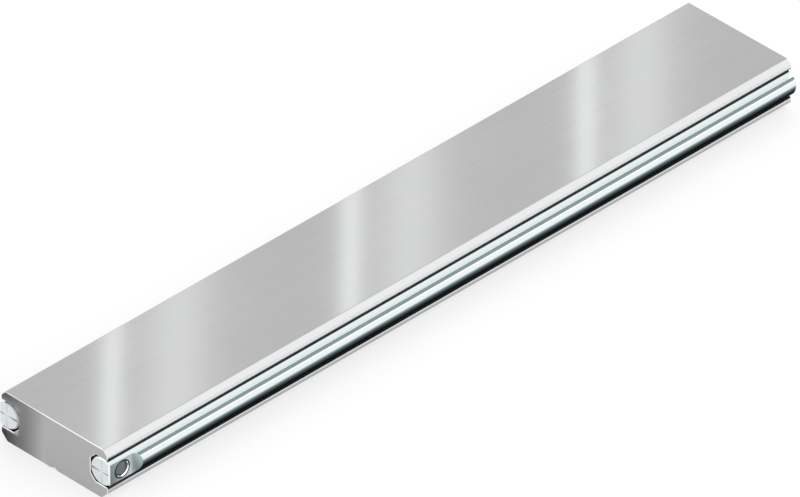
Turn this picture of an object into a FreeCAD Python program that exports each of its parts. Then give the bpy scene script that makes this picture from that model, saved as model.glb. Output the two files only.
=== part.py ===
import FreeCAD, Part
import os

# Cam roller guide rail: a flat extruded aluminium bar with a hardened steel raceway shaft in a channel
# along each side. Each shaft is pinned to the bar at the near end only, because steel and aluminium grow
# differently with heat.
# Sizes are in millimetres. +X runs along the rail away from the pinned end, +Y is to the left of someone
# who looks that way, and +Z is up. The origin is in the middle of the underside.

# Rail
rail_length = 300.0
raceway_width = 52.0      # over the crowns of the two shafts

# Raceway shafts
shaft_diameter = 10.0
shaft_standout = 2.5      # crown of a shaft beyond the side of the bar
shaft_end_break = 0.4     # chamfer round both ends

# Flat milled on the outer side of each shaft, at the near end
flat_depth = 1.7          # below the crown
flat_margin = 0.7         # flat that is left between the countersink and the run-out
cutter_diameter = 10.0    # the cutter's round is the run-out at the end of the flat

# Retaining pins, with the hole that takes them
pin_diameter = 5.0
pin_setback = 5.6         # from the near end to the axis of the pin
pin_recess = 0.8          # outer end of the pin below the flat
pin_bite = 6.0            # length of the pin in the bar, behind the channel
pin_end_break = 0.3       # chamfer round both ends
countersink_width = 0.3   # shallow chamfer round the mouth of the hole
countersink_depth = 0.3

# Carrier bar
upper_lip = 3.6           # from a channel to the top face
lower_lip = 4.9           # from a channel to the underside
top_chamfer = 1.8
bottom_chamfer = 2.6
lip_round = 1.6           # radius between a top chamfer and the side of the bar
channel_corner = 2.2      # chamfer in the two inner corners of a channel
mark_width = 3.0          # V mark along the middle of the underside
mark_depth = 0.75
bar_end_break = 0.35      # broken edges of the two sawn ends

# Clearances
seat_clearance = 0.05     # between a shaft and each wall of its channel
pin_clearance = 0.02      # between a pin and the wall of its hole
hole_spare = 0.5          # depth of the hole beyond the inner end of the pin

# Places that follow from the sizes
shaft_radius = shaft_diameter / 2
crown_y = raceway_width / 2
side_y = crown_y - shaft_standout
axis_y = crown_y - shaft_radius
flat_y = crown_y - flat_depth
channel_back = axis_y - shaft_radius - seat_clearance
channel_top = lower_lip + shaft_diameter + 2 * seat_clearance
axis_z = lower_lip + seat_clearance + shaft_radius
bar_height = channel_top + upper_lip
near_end = -rail_length / 2
far_end = rail_length / 2
hole_radius = pin_diameter / 2 + pin_clearance
countersink_radius = hole_radius + countersink_width
flat_length = pin_setback + countersink_radius + flat_margin
cutter_radius = cutter_diameter / 2
pin_x = near_end + pin_setback
pin_outer_y = flat_y - pin_recess
pin_inner_y = channel_back - pin_bite

along = FreeCAD.Vector(1, 0, 0)
left = FreeCAD.Vector(0, 1, 0)
up = FreeCAD.Vector(0, 0, 1)
same_place = 1e-6


def end_edges(shape):
    """The edges that lie in the plane of either end of the rail."""
    edges = []
    for edge in shape.Edges:
        for end in (near_end, far_end):
            if all(abs(corner.X - end) < same_place for corner in edge.Vertexes):
                edges.append(edge)
    return edges


def lip_edges(bar):
    """The two long edges between the top chamfers and the sides of the bar."""
    corner_z = bar_height - top_chamfer
    edges = []
    for edge in bar.Edges:
        if all(abs(abs(c.Y) - side_y) + abs(c.Z - corner_z) < same_place for c in edge.Vertexes):
            edges.append(edge)
    return edges


def mirrored(shape):
    """The same piece on the other side of the rail."""
    return shape.mirror(FreeCAD.Vector(), left)


def bar_section():
    """The section of the bar as a face in the plane of the near end."""
    half = [
        (mark_width / 2, 0),
        (side_y - bottom_chamfer, 0),
        (side_y, bottom_chamfer),
        (side_y, lower_lip),
        (channel_back + channel_corner, lower_lip),
        (channel_back, lower_lip + channel_corner),
        (channel_back, channel_top - channel_corner),
        (channel_back + channel_corner, channel_top),
        (side_y, channel_top),
        (side_y, bar_height - top_chamfer),
        (side_y - top_chamfer, bar_height),
    ]
    other_half = [(-y, z) for y, z in reversed(half)]
    outline = [(0, mark_depth)] + half + other_half + [(0, mark_depth)]
    corners = [FreeCAD.Vector(near_end, y, z) for y, z in outline]
    return Part.Face(Part.makePolygon(corners))


def pin_hole():
    """What the drill and the countersink take away on the left side."""
    depth = crown_y - pin_inner_y + hole_spare
    mouth = FreeCAD.Vector(pin_x, flat_y, axis_z)
    start = FreeCAD.Vector(pin_x, crown_y, axis_z)
    drilled = Part.makeCylinder(hole_radius, depth, start, -left)
    countersunk = Part.makeCone(countersink_radius, hole_radius, countersink_depth, mouth, -left)
    return drilled.fuse(countersunk)


def flat_cut():
    """What the cutter takes away from the left shaft: the flat and its round run-out."""
    corner = FreeCAD.Vector(near_end - cutter_radius, flat_y, axis_z - shaft_diameter)
    path = Part.makeBox(cutter_radius + flat_length, cutter_diameter, 2 * shaft_diameter, corner)
    last_stop = FreeCAD.Vector(near_end + flat_length, flat_y + cutter_radius, axis_z - shaft_diameter)
    cutter = Part.makeCylinder(cutter_radius, 2 * shaft_diameter, last_stop, up)
    return path.fuse(cutter)


def carrier_bar():
    """The extruded bar, sawn to length, with the blind holes for the pins."""
    bar = bar_section().extrude(along * rail_length)
    bar = bar.makeFillet(lip_round, lip_edges(bar))
    bar = bar.makeChamfer(bar_end_break, end_edges(bar))
    hole = pin_hole()
    return bar.cut([hole, mirrored(hole)]).Solids[0]


def raceway_shaft():
    """The left shaft, with its flat and the hole for its pin at the near end."""
    start = FreeCAD.Vector(near_end, axis_y, axis_z)
    shaft = Part.makeCylinder(shaft_radius, rail_length, start, along)
    shaft = shaft.cut(flat_cut())
    shaft = shaft.makeChamfer(shaft_end_break, end_edges(shaft))
    return shaft.cut(pin_hole()).Solids[0]


def retaining_pin():
    """The left pin, through the shaft and into the bar."""
    start = FreeCAD.Vector(pin_x, pin_inner_y, axis_z)
    pin = Part.makeCylinder(pin_diameter / 2, pin_outer_y - pin_inner_y, start, left)
    rims = [edge for edge in pin.Edges if len(edge.Vertexes) == 1]
    return pin.makeChamfer(pin_end_break, rims).Solids[0]


pieces = {"carrier_bar": carrier_bar()}
for name, piece in (("raceway_shaft", raceway_shaft()), ("retaining_pin", retaining_pin())):
    pieces["left_" + name] = piece
    pieces["right_" + name] = mirrored(piece)

os.makedirs("parts", exist_ok=True)
for node, shape in pieces.items():
    shape.exportStep(os.path.join("parts", node + ".step"))
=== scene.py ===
"""Looks of the cam roller guide rail: its dressed pieces, the studio round it and the camera.

The pieces are made the way the real ones are. The bar is an extruded section, sawn to length, with its
edges broken. The shafts are round stock with a milled flat and a drilled, countersunk hole, and the pins
are short round stock. All sizes are in metres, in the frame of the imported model.
"""

import logging
import math
from dataclasses import dataclass, field
from enum import Enum, IntEnum
from typing import Sequence

import bmesh
import bpy
from mathutils import Matrix, Vector


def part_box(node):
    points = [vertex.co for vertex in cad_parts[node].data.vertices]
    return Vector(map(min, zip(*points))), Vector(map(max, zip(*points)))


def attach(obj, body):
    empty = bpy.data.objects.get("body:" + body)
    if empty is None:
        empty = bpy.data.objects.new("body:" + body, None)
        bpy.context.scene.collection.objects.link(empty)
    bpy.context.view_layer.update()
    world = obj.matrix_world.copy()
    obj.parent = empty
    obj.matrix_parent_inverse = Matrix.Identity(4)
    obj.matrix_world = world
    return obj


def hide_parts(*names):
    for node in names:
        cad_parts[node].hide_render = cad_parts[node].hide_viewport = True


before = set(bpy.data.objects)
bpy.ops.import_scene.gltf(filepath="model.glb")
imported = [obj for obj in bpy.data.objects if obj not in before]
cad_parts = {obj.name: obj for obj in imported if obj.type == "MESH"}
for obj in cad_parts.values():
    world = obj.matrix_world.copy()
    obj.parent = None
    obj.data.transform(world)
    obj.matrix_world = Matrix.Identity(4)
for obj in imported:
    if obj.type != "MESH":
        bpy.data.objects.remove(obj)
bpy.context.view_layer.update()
MM = 0.001
BODY = "root"

# Edges that turn by more than this stay sharp
SHARP_ANGLE = math.radians(28)

# Points that are closer than this count as one place, and closer than the second are merged
SAME_PLACE = 0.002 * MM
MERGE_REACH = SAME_PLACE / 10

# Share of the axis in the normal of a face of round stock: a side has less than the first, a chamfer more
# than the second and an end more than the third
SIDE_LEAN = 0.1
HALF_LEAN = 0.5
END_LEAN = 0.9

# The wave node turns by 20 radians in one unit, so this scale makes one unit one wave
ONE_WAVE = 2 * math.pi / 20

# Sockets of a Mix node that mixes colours
MIX_LOW = 6
MIX_HIGH = 7
MIX_RESULT = 2

log = logging.getLogger("rail")

Colour = tuple[float, float, float]
Point = tuple[float, float, float]


class Side(Enum):
    """The two sides of the rail, as the sign of Y."""

    LEFT = 1
    RIGHT = -1

    @property
    def word(self) -> str:
        """The word that starts the names of this side's pieces."""
        return self.name.lower()


class Surface(IntEnum):
    """The material slot of a face, named for what the face is."""

    SKIN = 0
    EDGE = 1
    END = 2
    MILLED = 3
    DRILLED = 4
    # Near-black painted shade on the channel's level walls and on the rounds of its mouth and ledge
    INNER = 5


class Value:
    """A number that varies over a surface: the output of a shader node, with Python's operators."""

    def __init__(self, graph: "Graph", socket: bpy.types.NodeSocket | None) -> None:
        """Wraps one output socket of a node tree."""
        self.graph = graph
        self.socket = socket

    def _maths(self, operation: str, *terms: "Value | float") -> "Value":
        """One Math node on one or two values or numbers."""
        return self.graph.node("ShaderNodeMath", {"operation": operation}, dict(enumerate(terms)))

    def __add__(self, other: "Value | float") -> "Value":
        """self + other"""
        return self._maths("ADD", self, other)

    def __radd__(self, other: float) -> "Value":
        """other + self"""
        return self._maths("ADD", other, self)

    def __sub__(self, other: "Value | float") -> "Value":
        """self - other"""
        return self._maths("SUBTRACT", self, other)

    def __rsub__(self, other: float) -> "Value":
        """other - self"""
        return self._maths("SUBTRACT", other, self)

    def __mul__(self, other: "Value | float") -> "Value":
        """self * other"""
        return self._maths("MULTIPLY", self, other)

    def __rmul__(self, other: float) -> "Value":
        """other * self"""
        return self._maths("MULTIPLY", other, self)

    def __pow__(self, other: "Value | float") -> "Value":
        """self ** other"""
        return self._maths("POWER", self, other)

    def wave(self) -> "Value":
        """The wave of an angle in radians, from 1 at angle 0 down to 0 and back."""
        return 0.5 + 0.5 * self._maths("COSINE", self)


class Graph:
    """The node tree of one material or of the world."""

    def __init__(self, tree: bpy.types.NodeTree) -> None:
        """Takes a tree over and empties it."""
        self.tree = tree
        tree.nodes.clear()

    def node(
        self,
        kind: str,
        settings: dict[str, object] | None = None,
        inputs: dict[str | int, object] | None = None,
        out: str | int = 0,
    ) -> Value:
        """Adds one node.

        Args:
            kind: The node's type.
            settings: The node's own properties, set first.
            inputs: Its sockets by name or number, as values to link or constants.
            out: The output that is wanted.

        Returns:
            That output, which is empty for a node that has none.
        """
        made = self.tree.nodes.new(kind)
        for key, setting in (settings or {}).items():
            setattr(made, key, setting)
        for key, entry in (inputs or {}).items():
            if isinstance(entry, Value):
                self.tree.links.new(entry.socket, made.inputs[key])
            else:
                made.inputs[key].default_value = entry
        return Value(self, made.outputs[out] if made.outputs else None)

    def place(
        self, size: Point = (1.0, 1.0, 1.0), centre: Point = (0.0, 0.0, 0.0), turn: Point = (0.0, 0.0, 0.0)
    ) -> Value:
        """Object coordinates for a pattern.

        Args:
            size: The size of a feature, which becomes one unit.
            centre: The point that becomes zero.
            turn: The turn of the pattern about each axis, in radians.

        Returns:
            The coordinates.
        """
        return self.node(
            "ShaderNodeMapping",
            {"vector_type": "TEXTURE"},
            {
                "Vector": self.node("ShaderNodeTexCoord", out="Object"),
                "Location": centre,
                "Rotation": turn,
                "Scale": size,
            },
        )

    def noise(self, size: Point, detail: float = 2.0) -> Value:
        """Soft noise with features of this size."""
        return self.node(
            "ShaderNodeTexNoise", {}, {"Vector": self.place(size), "Scale": 1.0, "Detail": detail}
        )

    def blend(self, factor: Value, low: Value | Colour, high: Colour) -> Value:
        """A colour between two.

        Args:
            factor: The share of the second colour, which is kept from 0 to 1.
            low: The first colour.
            high: The second colour.

        Returns:
            The mixed colour.
        """
        first = low if isinstance(low, Value) else (*low, 1.0)
        return self.node(
            "ShaderNodeMix",
            {"data_type": "RGBA", "clamp_factor": True},
            {"Factor": factor, MIX_LOW: first, MIX_HIGH: (*high, 1.0)},
            out=MIX_RESULT,
        )

    def close(self, shader: Value) -> None:
        """Sends a shader to the material's output."""
        self.node("ShaderNodeOutputMaterial", {}, {"Surface": shader})


def blank_material(name: str) -> tuple[bpy.types.Material, Graph]:
    """Starts a material.

    Args:
        name: The material's name.

    Returns:
        The new material and its empty graph.
    """
    made = bpy.data.materials.new(name)
    made.use_nodes = True
    return made, Graph(made.node_tree)


@dataclass(frozen=True)
class Finish:
    """A bare metal surface with the marks of how it was made."""

    name: str
    dark: Colour
    light: Colour
    roughness: float
    roughness_swing: float = 0.06
    mark_height: float = 2e-6
    mark_strength: float = 0.5
    cloud_size: float = 25 * MM
    cloud_share: float = 0.35

    def marks(self, graph: Graph) -> Value:
        """The height of the marks, from 0 to 1: here the even grain of a satin surface."""
        grain = 0.3 * MM
        return graph.noise((grain, grain, grain))

    def tone(self, graph: Graph, marks: Value) -> Value:
        """How light the surface is, from 0 to 1: its marks with soft clouds over them."""
        cloud = graph.noise((self.cloud_size,) * 3)
        return marks * (1 - self.cloud_share) + cloud * self.cloud_share

    def colour(self, graph: Graph, tone: Value) -> Value:
        """The colour of the metal, by its tone."""
        return graph.blend(tone, self.dark, self.light)

    def material(self) -> bpy.types.Material:
        """Builds the material of this finish.

        Returns:
            The new material.
        """
        made, graph = blank_material(self.name)
        marks = self.marks(graph)
        tone = self.tone(graph, marks)
        bump = graph.node(
            "ShaderNodeBump",
            {},
            {"Strength": self.mark_strength, "Distance": self.mark_height, "Height": marks},
        )
        shader = graph.node(
            "ShaderNodeBsdfPrincipled",
            {},
            {
                "Base Color": self.colour(graph, tone),
                "Metallic": 1.0,
                "Roughness": self.roughness + self.roughness_swing * (tone - 0.5),
                "Normal": bump,
            },
        )
        graph.close(shader)
        return made


@dataclass(frozen=True)
class DrawnLines(Finish):
    """Fine lines along the bar, as an extrusion die leaves them."""

    broad_line: float = 1.3 * MM
    fine_line: float = 0.35 * MM
    broad_share: float = 0.55
    line_length: float = 220 * MM

    def marks(self, graph: Graph) -> Value:
        """The height of the marks.

        Args:
            graph: The graph of the material.

        Returns:
            Two widths of line, both drawn out along X.
        """
        broad, fine = (
            graph.noise((self.line_length, width, width), detail=3.0)
            for width in (self.broad_line, self.fine_line)
        )
        return self.broad_share * broad + (1 - self.broad_share) * fine


@dataclass(frozen=True)
class RingMarks(Finish):
    """Rings about an axis through a point: drilled holes, turned ends and the arcs of a saw."""

    centre: Point = (0.0, 0.0, 0.0)
    axis: str = "X"
    pitch: float = 0.25 * MM
    wobble: float = 1.5

    def marks(self, graph: Graph) -> Value:
        """The height of the marks.

        Args:
            graph: The graph of the material.

        Returns:
            Rings of one pitch that wander a little.
        """
        return graph.node(
            "ShaderNodeTexWave",
            {"wave_type": "RINGS", "rings_direction": self.axis},
            {
                "Vector": graph.place((self.pitch,) * 3, self.centre),
                "Scale": ONE_WAVE,
                "Distortion": self.wobble,
                "Detail": 1.0,
                "Detail Scale": 0.1,
            },
            out="Fac",
        )


@dataclass(frozen=True)
class TurnedFacePaintedSheen(RingMarks):
    """A turned face square to X, with a dark cross of painted sheen in its colour: a painted reflection of
    fine rings.
    """

    arms: int = 4
    painted_sheen_colour: Colour = (0.20, 0.23, 0.24)
    level_arms: float = 1.0
    upright_arms: float = 0.25
    sharpness: float = 22.0

    def colour(self, graph: Graph, tone: Value) -> Value:
        """The usual colour, with the narrow arms of the painted sheen cross over it, the level pair the
        darker.

        Args:
            graph: The graph of the material.
            tone: How light the surface is.

        Returns:
            The colour of the face.
        """
        turns = graph.node(
            "ShaderNodeTexGradient",
            {"gradient_type": "RADIAL"},
            {"Vector": graph.place(centre=self.centre, turn=(0.0, math.pi / 2, 0.0))},
            out="Fac",
        )
        angle = 2 * math.pi * turns
        # Painted sheen: dark arms of a cross, as a reflection in fine turned rings would show them
        arm = (self.arms * angle).wave() ** self.sharpness
        upright = (self.arms / 2 * angle).wave()
        depth = self.level_arms + (self.upright_arms - self.level_arms) * upright
        return graph.blend(arm * depth, super().colour(graph, tone), self.painted_sheen_colour)


@dataclass(frozen=True)
class BandMarks(Finish):
    """Fine upright bands along X, as a grinding wheel or the side of a cutter leaves them."""

    pitch: float = 0.2 * MM
    run: float = 20 * MM

    def marks(self, graph: Graph) -> Value:
        """Bands across X, drawn out along Y and Z."""
        return graph.noise((self.pitch, self.run, self.run), detail=3.0)


@dataclass(frozen=True)
class DrilledFlat(BandMarks):
    """A milled flat, with a ring of painted shade round the mouth of a hole in it."""

    hole: Point = (0.0, 0.0, 0.0)
    painted_shade_radius: float = 3.4 * MM
    painted_shade_colour: Colour = (0.015, 0.017, 0.018)
    painted_shade_edge: float = 20.0

    def colour(self, graph: Graph, tone: Value) -> Value:
        """The usual colour, with the painted shade ring over it.

        Args:
            graph: The graph of the material.
            tone: How light the surface is.

        Returns:
            The colour of the flat.
        """
        away = graph.node(
            "ShaderNodeVectorMath",
            {"operation": "LENGTH"},
            {0: graph.place((self.painted_shade_radius, 1.0, self.painted_shade_radius), self.hole)},
            out="Value",
        )
        return graph.blend((1.0 - away) * self.painted_shade_edge, super().colour(graph, tone), self.painted_shade_colour)


def closed_mesh(bm: bmesh.types.BMesh, name: str) -> bpy.types.Mesh:
    """Turns a finished bmesh into a mesh.

    Args:
        bm: The bmesh, which is freed.
        name: The mesh's name.

    Returns:
        The mesh, with its doubles merged and its normals outwards.
    """
    bmesh.ops.remove_doubles(bm, verts=bm.verts, dist=MERGE_REACH)
    bmesh.ops.recalc_face_normals(bm, faces=bm.faces)
    mesh = bpy.data.meshes.new(name)
    bm.to_mesh(mesh)
    bm.free()
    return mesh


def round_stock(steps: Sequence[tuple[Vector, float]], sides: int) -> bmesh.types.BMesh:
    """A round shape along a straight line.

    Args:
        steps: The points along its axis, each with the radius there.
        sides: The number of facets round the shape.

    Returns:
        The closed shape as a bmesh.
    """
    bm = bmesh.new()
    (start, radius), *others = steps
    turn = (others[-1][0] - start).to_track_quat("Z", "Y").to_matrix().to_4x4()
    bmesh.ops.create_circle(
        bm, cap_ends=True, segments=sides, radius=radius, matrix=Matrix.Translation(start) @ turn
    )
    foot = cap = bm.faces[:]
    for point, next_radius in others:
        grown = bmesh.ops.extrude_face_region(bm, geom=cap)
        if cap is not foot:
            bmesh.ops.delete(bm, geom=cap, context="FACES_ONLY")
        cap = [part for part in grown["geom"] if isinstance(part, bmesh.types.BMFace)]
        rim = cap[0].verts[:]
        bmesh.ops.translate(bm, verts=rim, vec=point - start)
        swell = (next_radius / radius,) * 3
        bmesh.ops.scale(bm, vec=swell, verts=rim, space=Matrix.Translation(-point))
        start, radius = point, next_radius
    return bm


def round_corner(bm: bmesh.types.BMesh, corner: bmesh.types.BMVert, radius: float, segments: int) -> None:
    """Rounds one corner of a flat outline.

    Args:
        bm: The bmesh that has it.
        corner: The corner, with the outline's two edges.
        radius: The radius of the round.
        segments: The number of edges along the round.
    """
    first, second = (edge.other_vert(corner).co - corner.co for edge in corner.link_edges)
    turn = math.pi - first.angle(second)
    bmesh.ops.bevel(
        bm,
        geom=[corner],
        offset=radius * math.tan(turn / 2),
        offset_type="OFFSET",
        affect="VERTICES",
        segments=segments,
        profile=0.5,
        material=-1,
    )


def break_ends(mesh: bpy.types.Mesh, width: float) -> bpy.types.Mesh:
    """Marks the two flat ends of a piece and breaks the edges round them.

    Args:
        mesh: The piece, with its two ends square to X, which is used up.
        width: How far the break reaches in from the end and in from the sides.

    Returns:
        The piece with its ends broken.
    """
    bm = bmesh.new()
    bm.from_mesh(mesh)
    bmesh.ops.recalc_face_normals(bm, faces=bm.faces)
    places = [vert.co.x for vert in bm.verts]
    for end in (min(places), max(places)):
        caps = [face for face in bm.faces if all(abs(vert.co.x - end) < SAME_PLACE for vert in face.verts)]
        ring = bmesh.ops.inset_region(
            bm, faces=caps, use_boundary=True, use_even_offset=True, thickness=width
        )["faces"]
        kept = {vert for cap in caps for vert in cap.verts}
        rim = {vert for face in ring for vert in face.verts} - kept
        bmesh.ops.translate(bm, verts=list(rim), vec=caps[0].normal * -width)
        for face in caps:
            face.material_index = Surface.END
        for face in ring:
            face.material_index = Surface.EDGE
    name = mesh.name
    bpy.data.meshes.remove(mesh)
    return closed_mesh(bm, name)


def carved(mesh: bpy.types.Mesh, tools: Sequence[bpy.types.Mesh]) -> bpy.types.Mesh:
    """Cuts closed tool shapes out of a mesh, as a cutter or a drill does.

    Args:
        mesh: The stock, which is used up.
        tools: The shapes to take away, which are used up. Their faces keep their material slots.

    Returns:
        The cut mesh.
    """
    scene = bpy.context.scene
    stock = bpy.data.objects.new("stock", mesh)
    scene.collection.objects.link(stock)
    cutters = []
    for tool in tools:
        cutter = bpy.data.objects.new("cutter", tool)
        scene.collection.objects.link(cutter)
        cut = stock.modifiers.new("cut", "BOOLEAN")
        cut.operation = "DIFFERENCE"
        cut.solver = "EXACT"
        cut.material_mode = "INDEX"
        cut.object = cutter
        cutters.append(cutter)
    seen = stock.evaluated_get(bpy.context.evaluated_depsgraph_get())
    result = bpy.data.meshes.new_from_object(seen)
    result.name = mesh.name
    for helper in (stock, *cutters):
        bpy.data.meshes.remove(helper.data)
    return result


def show_piece(
    name: str, mesh: bpy.types.Mesh, finishes: dict[Surface, Finish], node: str
) -> bpy.types.Object:
    """Puts a finished mesh into the scene in the place of its CAD node.

    Args:
        name: The piece's name.
        mesh: Its mesh.
        finishes: The finishes by slot. A slot with none takes the skin's.
        node: The CAD node that the piece stands for.

    Returns:
        The piece's object.
    """
    made = {surface: finish.material() for surface, finish in finishes.items()}
    for surface in Surface:
        mesh.materials.append(made.get(surface, made[Surface.SKIN]))
    mesh.shade_smooth()
    mesh.set_sharp_from_angle(angle=SHARP_ANGLE)
    piece = bpy.data.objects.new(name, mesh)
    bpy.context.scene.collection.objects.link(piece)
    even = piece.modifiers.new("flat_faces_stay_flat", "WEIGHTED_NORMAL")
    even.keep_sharp = True
    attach(piece, BODY)
    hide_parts(node)
    log.info("%s: %d faces, stands for %s", name, len(mesh.polygons), node)
    return piece


@dataclass
class PinnedEnd:
    """The place and sizes of the retaining pin's hole on one side."""

    side: Side
    hole_radius: float = 2.52 * MM
    countersink_width: float = 0.3 * MM
    countersink_depth: float = 0.3 * MM
    hole_spare: float = 0.5 * MM
    sides: int = 96
    low: Vector = field(init=False)
    high: Vector = field(init=False)

    def __post_init__(self) -> None:
        """Reads the pin's box from the frame."""
        self.low, self.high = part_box(f"{self.side.word}_retaining_pin")

    @property
    def middle(self) -> Vector:
        """The middle of the pin."""
        return (self.low + self.high) / 2

    def along(self, out: float) -> Vector:
        """The point on the pin's axis at a distance out from the middle plane of the rail."""
        return Vector((self.middle.x, self.side.value * out, self.middle.z))

    @property
    def inner(self) -> float:
        """How far out the pin's inner end is."""
        return min(abs(self.low.y), abs(self.high.y))

    @property
    def outer(self) -> float:
        """How far out the pin's outer end is."""
        return max(abs(self.low.y), abs(self.high.y))

    @property
    def mouth_radius(self) -> float:
        """The radius of the hole's mouth."""
        return self.hole_radius + self.countersink_width

    def drill(self, mouth: float, reach: float) -> bpy.types.Mesh:
        """The shape that the drill and the countersink take away.

        Args:
            mouth: How far out the flat is in which the hole starts.
            reach: How far out the tool reaches.

        Returns:
            The tool as a closed mesh.
        """
        steps = (
            (self.along(self.inner - self.hole_spare), self.hole_radius),
            (self.along(mouth - self.countersink_depth), self.hole_radius),
            (self.along(mouth), self.mouth_radius),
            (self.along(reach), self.mouth_radius),
        )
        bm = round_stock(steps, self.sides)
        bm.normal_update()
        for face in bm.faces:
            # The countersink takes the lighter edge finish, partly as painted highlight
            slanted = SIDE_LEAN < abs(face.normal.y) < END_LEAN
            face.material_index = Surface.EDGE if slanted else Surface.DRILLED
        return closed_mesh(bm, "drill")


@dataclass(frozen=True)
class Corner:
    """One corner of the bar's section, with its round and what the round is."""

    out: float
    height: float
    radius: float = 0.0
    segments: int = 4
    surface: Surface = Surface.SKIN

    def away(self, place: Vector) -> float:
        """How far a point of either half of the section is from this corner."""
        return math.hypot(abs(place.y) - self.out, place.z - self.height)


@dataclass
class CarrierBar:
    """The flat extruded bar with a channel along each side.

    The upper edge of a channel has the mouth round, with few enough facets that each lies nearest to its
    own corner. The lower edge has the ledge round, with a strip of painted highlight below it. Both rounds
    and the level walls of the channel are painted near black as shade. A strip of the section that is wider
    than the longest facet is no part of a round.
    """

    top_chamfer: float = 1.8 * MM
    bottom_chamfer: float = 2.6 * MM
    upper_lip: float = 3.6 * MM
    lower_lip: float = 4.9 * MM
    channel_corner: float = 2.2 * MM
    seat_clearance: float = 0.05 * MM
    mark_width: float = 3.0 * MM
    mark_depth: float = 0.75 * MM
    lip_round: float = 1.6 * MM
    lip_facets: int = 3
    mouth_round: float = 0.85 * MM
    mouth_facets: int = 5
    ledge_round: float = 0.6 * MM
    ledge_painted_highlight: float = 0.45 * MM
    edge_round: float = 0.4 * MM
    edge_facets: int = 4
    end_break: float = 0.22 * MM
    longest_facet: float = 0.5 * MM
    node: str = "carrier_bar"
    slot: str = "extruded_aluminium"

    def half_section(self) -> list[Corner]:
        """The left half of the section, from the middle of the underside to the middle of the top.

        Returns:
            Its corners in the plane of the near end.
        """
        _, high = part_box(self.node)
        shaft_low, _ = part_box("left_raceway_shaft")
        back = shaft_low.y - self.seat_clearance
        floor = self.lower_lip
        roof = high.z - self.upper_lip
        corner = self.channel_corner
        edge = (self.edge_round, self.edge_facets, Surface.EDGE)
        return [
            Corner(0, self.mark_depth),
            Corner(self.mark_width / 2, 0, *edge),
            Corner(high.y - self.bottom_chamfer, 0, *edge),
            Corner(high.y, self.bottom_chamfer, *edge),
            # A strip of painted highlight, the bright edge finish, below the ledge round
            Corner(high.y, floor - self.ledge_round - self.ledge_painted_highlight, surface=Surface.EDGE),
            Corner(high.y, floor, self.ledge_round, self.edge_facets, Surface.INNER),
            Corner(back + corner, floor),
            Corner(back, floor + corner),
            Corner(back, roof - corner),
            Corner(back + corner, roof),
            Corner(high.y, roof, self.mouth_round, self.mouth_facets, Surface.INNER),
            *self.lip(high),
            Corner(high.y - self.top_chamfer, high.z, self.edge_round, self.edge_facets),
            Corner(0, high.z),
        ]

    def lip(self, high: Vector) -> list[Corner]:
        """The round between the side and the top chamfer, with painted highlight, the bright edge finish,
        on its lower half.

        Args:
            high: The high corner of the bar's box.

        Returns:
            Its two half corners, from the lower to the upper one.
        """
        turn = math.radians(45)
        middle_out = high.y - self.lip_round
        middle_height = high.z - self.top_chamfer - self.lip_round * math.tan(turn / 2)
        reach = self.lip_round / math.cos(turn / 4)
        # The lower half takes the bright edge finish as painted highlight
        halves = ((0.25, Surface.EDGE), (0.75, Surface.SKIN))
        return [
            Corner(
                middle_out + reach * math.cos(share * turn),
                middle_height + reach * math.sin(share * turn),
                self.lip_round,
                self.lip_facets,
                surface,
            )
            for share, surface in halves
        ]

    def strip_surface(self, edge: bmesh.types.BMEdge) -> Surface:
        """What the long strip is that one edge of the section makes.

        Args:
            edge: The edge of the section.

        Returns:
            For a facet of a round what its nearest corner says, and else a channel's level wall or skin.
        """
        _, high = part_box(self.node)
        middle = (edge.verts[0].co + edge.verts[1].co) / 2
        if edge.calc_length() < self.longest_facet:
            return min(self.half_section(), key=lambda corner: corner.away(middle)).surface
        channel_walls = (self.lower_lip, high.z - self.upper_lip)
        rise = max(abs(vert.co.z - middle.z) for vert in edge.verts)
        level_wall = rise < SAME_PLACE and any(abs(middle.z - wall) < SAME_PLACE for wall in channel_walls)
        return Surface.INNER if level_wall else Surface.SKIN

    def draw_section(self, bm: bmesh.types.BMesh) -> None:
        """Draws the whole section as one flat face at the near end.

        Args:
            bm: The empty bmesh to draw it in.
        """
        low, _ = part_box(self.node)
        half = self.half_section()
        corners = [bm.verts.new((low.x, corner.out, corner.height)) for corner in half]
        for first, second in zip(corners, corners[1:]):
            bm.edges.new((first, second))
        bmesh.ops.mirror(bm, geom=bm.verts[:] + bm.edges[:], axis="Y", merge_dist=SAME_PLACE)
        seam = [vert for vert in bm.verts if half[-1].away(vert.co) < SAME_PLACE]
        bmesh.ops.dissolve_verts(bm, verts=seam)
        bmesh.ops.contextual_create(bm, geom=bm.edges[:])
        for corner in half:
            if corner.radius:
                for vert in [vert for vert in bm.verts if corner.away(vert.co) < SAME_PLACE]:
                    round_corner(bm, vert, corner.radius, corner.segments)

    def build(self) -> bpy.types.Mesh:
        """Extrudes the section, drills it, saws it off and breaks its edges.

        Returns:
            The bar's mesh.
        """
        low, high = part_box(self.node)
        bm = bmesh.new()
        self.draw_section(bm)
        section = bm.edges[:]
        grown = bmesh.ops.extrude_face_region(bm, geom=bm.faces[:])
        moved = [part for part in grown["geom"] if isinstance(part, bmesh.types.BMVert)]
        bmesh.ops.translate(bm, verts=moved, vec=(high.x - low.x, 0, 0))
        bmesh.ops.recalc_face_normals(bm, faces=bm.faces)
        for edge in section:
            surface = self.strip_surface(edge)
            for face in edge.link_faces:
                face.material_index = surface
        drills = [PinnedEnd(side).drill(high.y, high.y + self.end_break) for side in Side]
        return break_ends(carved(closed_mesh(bm, self.node), drills), self.end_break)

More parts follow.
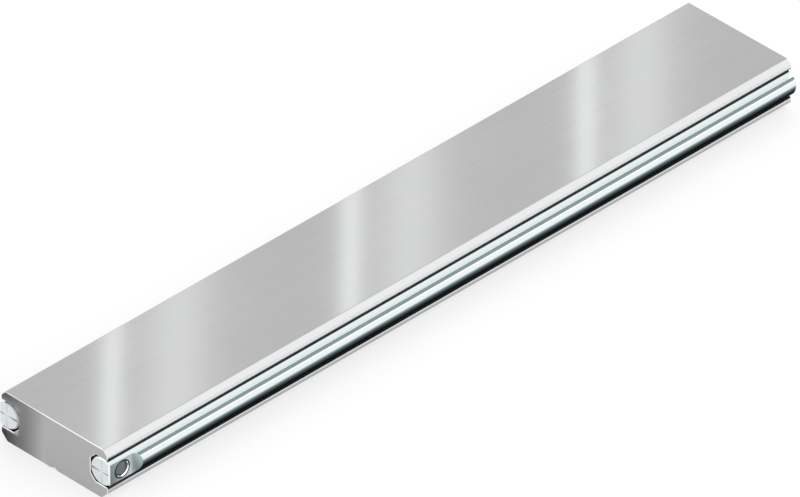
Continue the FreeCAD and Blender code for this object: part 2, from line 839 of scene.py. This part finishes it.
    def dress(self, mesh: bpy.types.Mesh) -> bpy.types.Object:
        """Gives the bar its finishes and shows it.

        Args:
            mesh: The bar's mesh.

        Returns:
            The bar's object.
        """
        low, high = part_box(self.node)
        saw_axle = (low.x, 2.5 * high.y, -4.0 * high.z)
        finishes = {
            Surface.SKIN: DrawnLines(
                "drawn_aluminium",
                dark=(0.43, 0.433, 0.436),
                light=(0.51, 0.512, 0.514),
                roughness=0.22,
                mark_height=4e-6,
            ),
            # Broken edges are bright: partly bare burnished metal, partly painted highlight along every
            # edge
            Surface.EDGE: Finish(
                "burnished_edge_and_painted_highlight", dark=(0.74, 0.74, 0.745), light=(0.86, 0.86, 0.865), roughness=0.25
            ),
            Surface.END: RingMarks(
                "sawn_aluminium",
                dark=(0.38, 0.38, 0.385),
                light=(0.52, 0.52, 0.525),
                roughness=0.40,
                mark_height=6e-6,
                centre=saw_axle,
                pitch=0.65 * MM,
                wobble=2.5,
            ),
            Surface.DRILLED: Finish(
                "drilled_aluminium", dark=(0.30, 0.30, 0.30), light=(0.42, 0.42, 0.42), roughness=0.40
            ),
            # Painted shade: the channel and its rounds are near black, where shade falls in the gap round
            # the shaft
            Surface.INNER: Finish(
                "channel_painted_shade", dark=(0.02, 0.02, 0.021), light=(0.05, 0.05, 0.052), roughness=0.50
            ),
        }
        return show_piece("bar", mesh, finishes, self.node)


@dataclass
class RacewayShaft:
    """A hardened and ground shaft, with its flat and its pinned hole at the near end."""

    side: Side
    flat_depth: float = 1.7 * MM
    flat_margin: float = 0.7 * MM
    cutter_radius: float = 5.0 * MM
    end_break: float = 0.4 * MM
    sides: int = 256
    cutter_sides: int = 192
    slot: str = "ground_steel"
    low: Vector = field(init=False)
    high: Vector = field(init=False)

    def __post_init__(self) -> None:
        """Reads the shaft's box from the frame."""
        self.low, self.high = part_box(self.node)

    @property
    def node(self) -> str:
        """The CAD node of this shaft."""
        return f"{self.side.word}_raceway_shaft"

    @property
    def radius(self) -> float:
        """The shaft's radius."""
        return (self.high.z - self.low.z) / 2

    @property
    def axis(self) -> Vector:
        """The middle of the shaft."""
        return (self.low + self.high) / 2

    @property
    def crown(self) -> float:
        """How far out the shaft reaches."""
        return max(abs(self.low.y), abs(self.high.y))

    @property
    def flat(self) -> float:
        """How far out the milled flat is."""
        return self.crown - self.flat_depth

    def cutter(self) -> bpy.types.Mesh:
        """The path of an upright cutter that mills the flat and leaves a round run-out.

        Returns:
            What it takes away, as a closed mesh.
        """
        pinned = PinnedEnd(self.side)
        last_stop = pinned.middle.x + pinned.mouth_radius + self.flat_margin
        first_stop = self.low.x - self.cutter_radius
        out = self.side.value * (self.flat + self.cutter_radius)
        foot = self.low.z - self.cutter_radius
        top = self.high.z + self.cutter_radius
        ends = (Vector((last_stop, out, foot)), Vector((last_stop, out, top)))
        bm = round_stock([(end, self.cutter_radius) for end in ends], self.cutter_sides)
        behind = [vert for vert in bm.verts if vert.co.x < last_stop - SAME_PLACE]
        bmesh.ops.translate(bm, verts=behind, vec=(first_stop - last_stop, 0, 0))
        for face in bm.faces:
            face.material_index = Surface.MILLED
        return closed_mesh(bm, "cutter")

    def edge_breaker(self) -> bpy.types.Mesh:
        """The upright square tool, set cornerwise, that breaks the edge of the flat at the near end.

        Returns:
            What it takes away, as a closed mesh.
        """
        out = self.side.value * self.flat
        ends = (Vector((self.low.x, out, self.low.z)), Vector((self.low.x, out, self.high.z)))
        bm = round_stock([(end, self.end_break) for end in ends], sides=4)
        for face in bm.faces:
            face.material_index = Surface.EDGE
        return closed_mesh(bm, "edge_breaker")

    def build(self) -> bpy.types.Mesh:
        """Turns the round stock with chamfered ends, then mills, breaks and drills it.

        Returns:
            The shaft's mesh.
        """
        near, far, width = self.low.x, self.high.x, self.end_break
        tip = self.radius - width
        profile = ((near, tip), (near + width, self.radius), (far - width, self.radius), (far, tip))
        steps = [(Vector((x, self.axis.y, self.axis.z)), radius) for x, radius in profile]
        bm = round_stock(steps, self.sides)
        bm.normal_update()
        for face in bm.faces:
            lean = abs(face.normal.x)
            if lean > END_LEAN:
                face.material_index = Surface.END
            elif lean > SIDE_LEAN:
                face.material_index = Surface.EDGE
            else:
                face.material_index = Surface.SKIN
        drill = PinnedEnd(self.side).drill(self.flat, self.crown)
        return carved(closed_mesh(bm, self.node), [self.cutter(), self.edge_breaker(), drill])

    def dress(self, mesh: bpy.types.Mesh) -> bpy.types.Object:
        """Gives the shaft its finishes and shows it.

        Args:
            mesh: The shaft's mesh.

        Returns:
            The shaft's object.
        """
        word = self.side.word
        hole = tuple(PinnedEnd(self.side).middle)
        finishes = {
            Surface.SKIN: BandMarks(
                f"{word}_ground_steel",
                dark=(0.80, 0.85, 0.85),
                light=(0.86, 0.90, 0.90),
                roughness=0.09,
                roughness_swing=0.03,
                mark_height=1e-6,
            ),
            # Broken edges and countersink are lighter than the skin: bright broken steel, partly painted
            # highlight
            Surface.EDGE: Finish(
                f"{word}_broken_edge_painted_highlight", dark=(0.86, 0.89, 0.89), light=(0.94, 0.96, 0.96), roughness=0.20
            ),
            # The end face carries a painted sheen cross in its colour
            Surface.END: TurnedFacePaintedSheen(
                f"{word}_turned_steel_painted_sheen",
                dark=(0.50, 0.55, 0.56),
                light=(0.92, 0.96, 0.96),
                roughness=0.17,
                mark_height=3e-6,
                centre=tuple(self.axis),
            ),
            # The flat carries a ring of painted shade round the hole's mouth
            Surface.MILLED: DrilledFlat(
                f"{word}_milled_steel_painted_shade_ring",
                dark=(0.62, 0.67, 0.67),
                light=(0.76, 0.81, 0.81),
                roughness=0.28,
                mark_height=3e-6,
                hole=hole,
            ),
            Surface.DRILLED: RingMarks(
                f"{word}_drilled_steel",
                dark=(0.50, 0.53, 0.54),
                light=(0.66, 0.69, 0.70),
                roughness=0.25,
                centre=hole,
                axis="Y",
            ),
        }
        return show_piece(f"{word}_shaft", mesh, finishes, self.node)


@dataclass
class RetainingPin:
    """A short round pin that holds a shaft in the bar."""

    side: Side
    end_break: float = 0.3 * MM
    sides: int = 96
    slot: str = "pin_steel"

    @property
    def node(self) -> str:
        """The CAD node of this pin."""
        return f"{self.side.word}_retaining_pin"

    def build(self) -> bpy.types.Mesh:
        """Cuts the pin off and breaks its ends.

        Returns:
            The pin's mesh.
        """
        place = PinnedEnd(self.side)
        radius = (place.high.z - place.low.z) / 2
        tip = radius - self.end_break
        steps = (
            (place.along(place.inner), tip),
            (place.along(place.inner + self.end_break), radius),
            (place.along(place.outer - self.end_break), radius),
            (place.along(place.outer), tip),
        )
        bm = round_stock(steps, self.sides)
        bm.normal_update()
        for face in bm.faces:
            face.material_index = Surface.END if abs(face.normal.y) > HALF_LEAN else Surface.SKIN
        return closed_mesh(bm, self.node)

    def dress(self, mesh: bpy.types.Mesh) -> bpy.types.Object:
        """Gives the pin its finishes and shows it.

        Args:
            mesh: The pin's mesh.

        Returns:
            The pin's object.
        """
        word = self.side.word
        finishes = {
            Surface.SKIN: Finish(
                f"{word}_pin_steel", dark=(0.28, 0.28, 0.29), light=(0.38, 0.38, 0.39), roughness=0.32
            ),
            Surface.END: RingMarks(
                f"{word}_pin_end",
                dark=(0.20, 0.20, 0.21),
                light=(0.32, 0.32, 0.33),
                roughness=0.38,
                centre=tuple(PinnedEnd(self.side).middle),
                axis="Y",
            ),
        }
        return show_piece(f"{word}_pin", mesh, finishes, self.node)


@dataclass
class Softbox:
    """A rectangular lamp that faces a point. Its level is how bright it looks, whatever its size."""

    name: str
    place: Point
    target: Point
    size: tuple[float, float]
    level: float

    def build(self) -> bpy.types.Object:
        """Hangs the lamp.

        Returns:
            The lamp's object.
        """
        lamp = bpy.data.lights.new(self.name, "AREA")
        lamp.shape = "RECTANGLE"
        lamp.size, lamp.size_y = self.size
        lamp.energy = self.level * math.pi * self.size[0] * self.size[1]
        made = bpy.data.objects.new(self.name, lamp)
        made.location = self.place
        made.rotation_euler = (Vector(self.target) - Vector(self.place)).to_track_quat("-Z", "Y").to_euler()
        made.visible_camera = False
        bpy.context.scene.collection.objects.link(made)
        return made


@dataclass
class Strip(Softbox):
    """A long lamp that hangs level over the rail, across its length at 45 degrees."""

    turn: float = math.radians(-45)

    def build(self) -> bpy.types.Object:
        """Hangs the strip and turns it level.

        Returns:
            The strip's object.
        """
        made = super().build()
        made.rotation_euler = (0, 0, self.turn)
        return made


def stand_board(name: str, bm: bmesh.types.BMesh, paint: bpy.types.Material) -> bpy.types.Object:
    """Puts a flat board of the studio into the scene.

    Args:
        name: The board's name.
        bm: Its shape, which is freed.
        paint: Its material.

    Returns:
        The board's object.
    """
    mesh = bpy.data.meshes.new(name)
    bm.to_mesh(mesh)
    bm.free()
    mesh.materials.append(paint)
    made = bpy.data.objects.new(name, mesh)
    bpy.context.scene.collection.objects.link(made)
    return made


@dataclass
class Card:
    """A board that shows only in the metal, with one tone along its first edge and another opposite."""

    name: str
    corner: Point
    first_edge: Point
    second_edge: Point
    near_tone: Colour
    far_tone: Colour
    fade: float = 1.0

    def build(self) -> bpy.types.Object:
        """Stands the board up and paints it.

        Returns:
            The board's object.
        """
        corner, first, second = Vector(self.corner), Vector(self.first_edge), Vector(self.second_edge)
        skew = Matrix((first, second, first.cross(second).normalized())).transposed().to_4x4()
        skew.translation = corner
        bm = bmesh.new()
        half = 0.5
        unit = Matrix.Translation((half, half, 0))
        bmesh.ops.create_grid(bm, x_segments=1, y_segments=1, size=half, matrix=skew @ unit)
        across = second - second.project(first)
        paint, graph = blank_material(self.name)
        away = graph.node(
            "ShaderNodeVectorMath",
            {"operation": "DOT_PRODUCT"},
            {0: graph.place(centre=self.corner), 1: tuple(across / across.length_squared)},
            out="Value",
        )
        tone = graph.blend(away**self.fade, self.near_tone, self.far_tone)
        graph.close(graph.node("ShaderNodeEmission", {}, {"Color": tone, "Strength": 1.0}))
        made = stand_board(self.name, bm, paint)
        made.visible_camera = False
        made.visible_diffuse = False
        made.visible_shadow = False
        made.visible_transmission = False
        return made


def seen_directly(graph: Graph) -> Value:
    """Tells the rays that show the studio itself from the rays of its light.

    Args:
        graph: The graph of a material of the studio.

    Returns:
        One for rays from the camera and for rays by way of metal or glass, and else zero.
    """
    rays = [
        graph.node("ShaderNodeLightPath", out=name)
        for name in ("Is Camera Ray", "Is Glossy Ray", "Is Transmission Ray")
    ]
    return rays[0] + rays[1] + rays[2]


@dataclass
class Studio:
    """The floor, the light and the cards round the rail."""

    floor_size: float = 3.0
    floor_drop: float = 0.05 * MM
    floor_tone: float = 0.9
    floor_lift: float = 0.6
    strip_pitch: float = 74 * MM
    view_slope: float = math.radians(35.2)

    def build_floor(self) -> None:
        """Lays a pale floor that keeps the rail's shadow."""
        bm = bmesh.new()
        drop = Matrix.Translation((0, 0, -self.floor_drop))
        bmesh.ops.create_grid(bm, x_segments=1, y_segments=1, size=self.floor_size / 2, matrix=drop)
        paint, graph = blank_material("pale_floor")
        matt = graph.node("ShaderNodeBsdfDiffuse", {}, {"Color": (*(self.floor_tone,) * 3, 1.0)})
        lift = graph.node("ShaderNodeEmission", {}, {"Color": (1.0, 1.0, 1.0, 1.0), "Strength": 1.0})
        share = seen_directly(graph) * self.floor_lift
        graph.close(graph.node("ShaderNodeMixShader", {}, {0: share, 1: matt, 2: lift}))
        stand_board("floor", bm, paint)

    def build_sky(self) -> None:
        """Surrounds the scene with even white."""
        world = bpy.data.worlds.new("white_studio")
        world.use_nodes = True
        bpy.context.scene.world = world
        graph = Graph(world.node_tree)
        sky = graph.node("ShaderNodeBackground", {}, {"Color": (1.0, 1.0, 1.0, 1.0), "Strength": 1.0})
        graph.node("ShaderNodeOutputWorld", {}, {"Surface": sky})

    def build_lamps(self) -> None:
        """Hangs a soft lamp on the right, another before the near end, and the strips over the top face."""
        _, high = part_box("carrier_bar")
        lamps: list[Softbox] = [
            Softbox(
                "side_lamp", place=(0.25, -0.33, 0.32), target=(0.25, 0, 0.32), size=(1.3, 0.58), level=0.8
            ),
            Softbox(
                "edge_lamp", place=(-0.40, 0.25, 0.27), target=(-0.15, 0, 0.02), size=(0.3, 0.3), level=0.35
            ),
        ]
        strips = (
            ("narrow", -15.8 * MM, 40 * MM, (5.5 * MM, 95 * MM), 0.9),
            ("wide", 3.0 * MM, 110 * MM, (14 * MM, 170 * MM), 0.7),
        )
        diagonal = math.sqrt(2)
        for turn in (-1, 0, 1):
            for word, shift, height, size, level in strips:
                reach = height / math.tan(self.view_slope) / diagonal
                across = (turn * self.strip_pitch + shift) * diagonal
                place = (reach + across, reach, high.z + height)
                lamps.append(Strip(f"{word}_strip_{turn + 2}", place, (*place[:2], 0), size, level))
        for lamp in lamps:
            lamp.build()

    def build_cards(self) -> None:
        """Sets a dark, a grey and a pale card along each shaft, and two cards that shade the right flat."""
        low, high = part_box("carrier_bar")
        length = high.x - low.x
        for side in Side:
            out = side.value
            Card(
                f"{side.word}_dark_card",
                corner=(low.x + 12 * MM, out * (high.y + 0.1 * MM), 4.85 * MM),
                first_edge=(length - 9 * MM, 0, 0),
                second_edge=(8.0 * MM, out * 11.9 * MM, 0),
                near_tone=(0.002, 0.004, 0.004),
                far_tone=(0.74, 0.88, 0.92),
                fade=2.6,
            ).build()
            Card(
                f"{side.word}_grey_card",
                corner=(low.x + 15.2 * MM, out * 30.2 * MM, 17.5 * MM),
                first_edge=(length - 10 * MM, 0, 0),
                second_edge=(18.9 * MM, out * 28.6 * MM, 0),
                near_tone=(0.27, 0.33, 0.33),
                far_tone=(0.62, 0.68, 0.68),
                fade=2.0,
            ).build()
            Card(
                f"{side.word}_pale_card",
                corner=(low.x, out * 24.5 * MM, 15.5 * MM),
                first_edge=(length, 0, 0),
                second_edge=(0, out * 3 * MM, 0),
                near_tone=(0.96, 1.0, 1.0),
                far_tone=(0.82, 0.87, 0.87),
            ).build()
        start = (low.x + 4 * MM, -28 * MM, 0.5 * MM)
        slant = (16 * MM, -16 * MM, 0)
        dark, pale, green = (0.10, 0.115, 0.12), (0.80, 0.85, 0.85), (0.44, 0.66, 0.63)
        Card("flat_card", start, slant, (9 * MM, 0, 0), near_tone=dark, far_tone=pale).build()
        Card("run_out_card", start, slant, (-12 * MM, 0, 0), near_tone=dark, far_tone=green).build()

    def build_end_cards(self) -> None:
        """Leans cards before the near end, which shade the left of the bar's end but not the shaft's."""
        low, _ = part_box("carrier_bar")
        lean = Vector((-1.0, 1.0, 5.0))
        foot = 0.2 * MM
        fade = 1.35
        beside, dark_edge, light_edge = 16 * MM, 25 * MM, 4 * MM
        dark, grey, light = (0.04,) * 3, (0.36,) * 3, (1.0,) * 3
        cards = (
            ("lower_end_card", 0.0, 0.75 * MM, dark_edge, beside, dark, grey),
            ("upper_end_card", 2.5 * MM, 4.5 * MM, dark_edge, beside, dark, grey),
            ("inner_end_card", 0.0, 4.5 * MM, beside, light_edge, grey, light),
        )
        for name, start, stop, out, inner, near_tone, far_tone in cards:
            corner = Vector((low.x, out, foot)) + start * lean
            rise = (stop - start) * lean
            Card(name, tuple(corner), tuple(rise), (0, inner - out, 0), near_tone, far_tone, fade).build()

    def build(self) -> None:
        """Builds the whole studio."""
        self.build_floor()
        self.build_sky()
        self.build_lamps()
        self.build_cards()
        self.build_end_cards()


@dataclass
class ViewCamera:
    """A far camera with a long lens, which looks along the three axes alike."""

    azimuth: float = math.radians(-44.77)
    elevation: float = math.radians(35.19)
    lens: float = 1050.0
    sensor: float = 36.0
    frame_width: float = 249.4 * MM
    aim_right: float = -0.05 * MM
    aim_up: float = 7.3 * MM
    near_clip: float = 0.01
    far_clip: float = 3.0

    def build(self) -> None:
        """Places the camera and makes it the scene's own."""
        data = bpy.data.cameras.new("camera")
        data.lens = self.lens
        data.sensor_width = self.sensor
        data.sensor_fit = "HORIZONTAL"
        distance = self.frame_width * self.lens / self.sensor
        data.clip_start = distance * self.near_clip
        data.clip_end = distance * self.far_clip
        back = Vector(
            (
                math.sin(self.azimuth) * math.cos(self.elevation),
                -math.cos(self.azimuth) * math.cos(self.elevation),
                math.sin(self.elevation),
            )
        )
        turn = back.to_track_quat("Z", "Y")
        aim = turn @ Vector((self.aim_right, self.aim_up, 0))
        made = bpy.data.objects.new("camera", data)
        made.rotation_euler = turn.to_euler()
        made.location = aim + back * distance
        bpy.context.scene.collection.objects.link(made)
        bpy.context.scene.camera = made


def main() -> None:
    """Builds the rail's pieces, the studio and the camera."""
    logging.basicConfig(level=logging.INFO, format="%(name)s %(message)s")
    pieces: list[CarrierBar | RacewayShaft | RetainingPin] = [CarrierBar()]
    for side in Side:
        pieces += [RacewayShaft(side), RetainingPin(side)]
    for piece in pieces:
        piece.dress(piece.build())
    Studio().build()
    ViewCamera().build()
    bpy.context.scene.view_settings.view_transform = "Standard"


if __name__ == "__main__":
    main()
